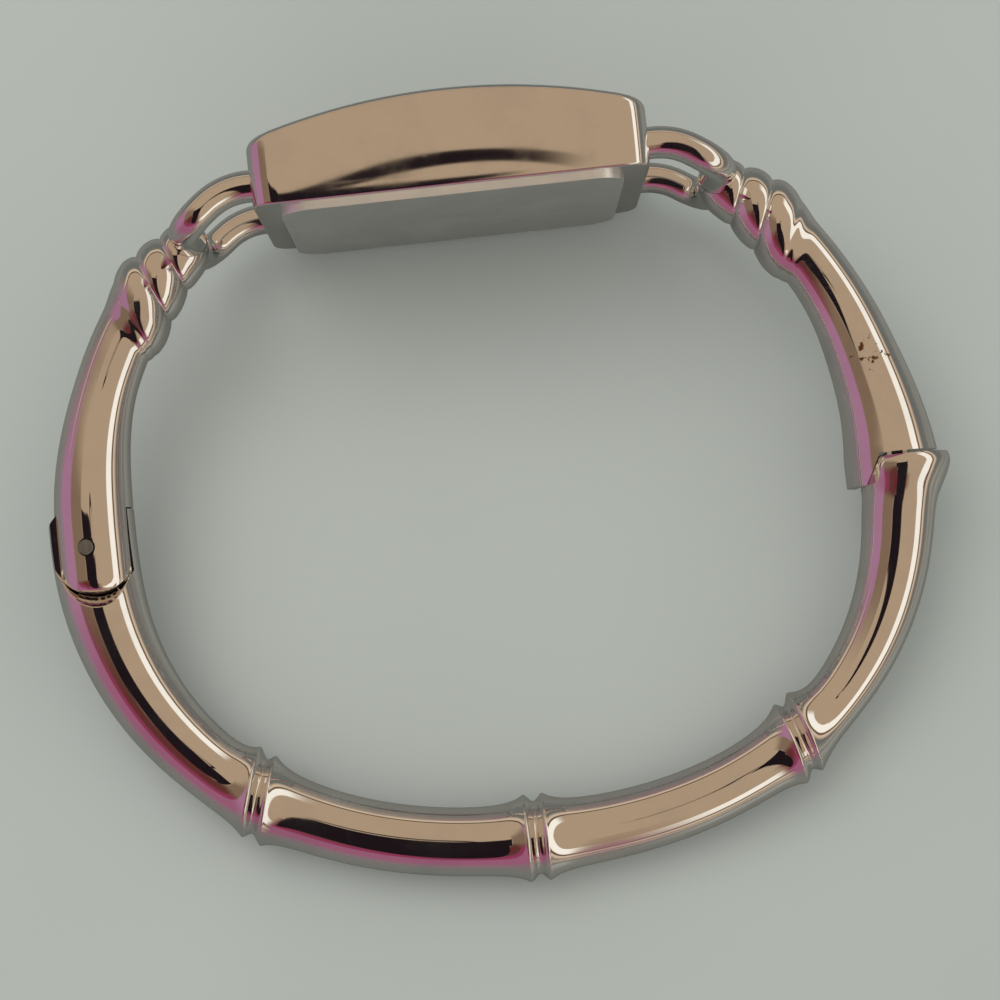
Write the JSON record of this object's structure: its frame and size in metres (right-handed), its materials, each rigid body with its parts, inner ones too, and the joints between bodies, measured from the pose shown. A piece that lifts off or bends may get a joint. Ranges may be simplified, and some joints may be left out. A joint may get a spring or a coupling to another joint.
{
  "type": "bracelet watch",
  "caption": "Rectangular dress watch with an arched case on a rigid hinged bangle of bamboo-like segments.",
  "frame": {"origin": "middle of the case back's outer face, which rests against the wrist", "axes": "+X along the case from 6 to 12 o'clock, away from the hinge; +Y out of the dial; +Z along the wrist, away from the crown"},
  "size_m": [0.0722, 0.0618, 0.0235],
  "materials": {
    "polished_steel": "polished",
    "brushed_back": "brushed",
    "rubber_seal": "matt",
    "mineral_glass": "clear",
    "dial_face": "satin",
    "bright_trim": "polished",
    "gear_brass": "satin",
    "plate_metal": "satin",
    "holder_plastic": "matt",
    "board_green": "satin",
    "coil_copper": "satin",
    "steel_plain": "satin"
  },
  "bodies": {
    "watch_head": {"case_middle": "polished_steel", "case_back": "brushed_back", "back_gasket": "rubber_seal", "crystal": "mineral_glass", "crystal_gasket": "rubber_seal", "dial": "dial_face", "hour_markers": "bright_trim", "main_plate": "plate_metal", "movement_holder": "holder_plastic", "circuit_board": "board_green", "coil": "coil_copper", "quartz_can": "steel_plain", "train_bridge": "plate_metal", "bridge_screws": "steel_plain", "battery": "steel_plain", "battery_strap": "gear_brass", "case_tube": "steel_plain", "left_stirrup": "polished_steel", "right_stirrup": "polished_steel", "left_arm": "polished_steel", "right_arm": "polished_steel", "hinge_pin": "steel_plain"},
    "lower_bangle": {"lower_bangle": "polished_steel", "clasp_tongue": "bright_trim", "clasp_rivet": "steel_plain"},
    "clutch": {"clutch_pinion": "steel_plain"},
    "crown": {"crown": "polished_steel", "stem": "steel_plain", "crown_gasket": "rubber_seal"},
    "minute_group": {"cannon_pinion": "gear_brass", "minute_hand": "bright_trim"},
    "minute_wheel": {"minute_wheel": "gear_brass"},
    "hour_group": {"hour_wheel": "gear_brass", "hour_hand": "bright_trim"}
  },
  "joints": [
    {"name": "bangle_hinge", "type": "hinge", "parent": "watch_head", "child": "lower_bangle", "pos_m": [-0.03165, -0.02335, 0], "axis": [0, 0, 1], "range_deg": [-50, 0]},
    {"name": "crown_turn", "type": "hinge", "parent": "watch_head", "child": "clutch", "pos_m": [0, 0.003, -0.004], "axis": [0, 0, -1], "continuous": true},
    {"name": "crown_pull", "type": "slide", "parent": "clutch", "child": "crown", "axis": [0, 0, -1], "range_m": [0, 0.0009]},
    {"name": "minute_turn", "type": "hinge", "parent": "watch_head", "child": "minute_group", "pos_m": [0, 0.0045, 0], "axis": [0, 1, 0], "continuous": true},
    {"name": "minute_wheel_turn", "type": "hinge", "parent": "watch_head", "child": "minute_wheel", "pos_m": [-0.00181, 0.0036, 0.00181], "axis": [0, 1, 0], "continuous": true},
    {"name": "hour_turn", "type": "hinge", "parent": "watch_head", "child": "hour_group", "pos_m": [0, 0.0045, 0], "axis": [0, 1, 0], "continuous": true}
  ],
  "couplings": [
    {"joint": "minute_wheel_turn", "follows": "minute_turn", "ratio": -0.33333},
    {"joint": "hour_turn", "follows": "minute_turn", "ratio": 0.083333}
  ]
}
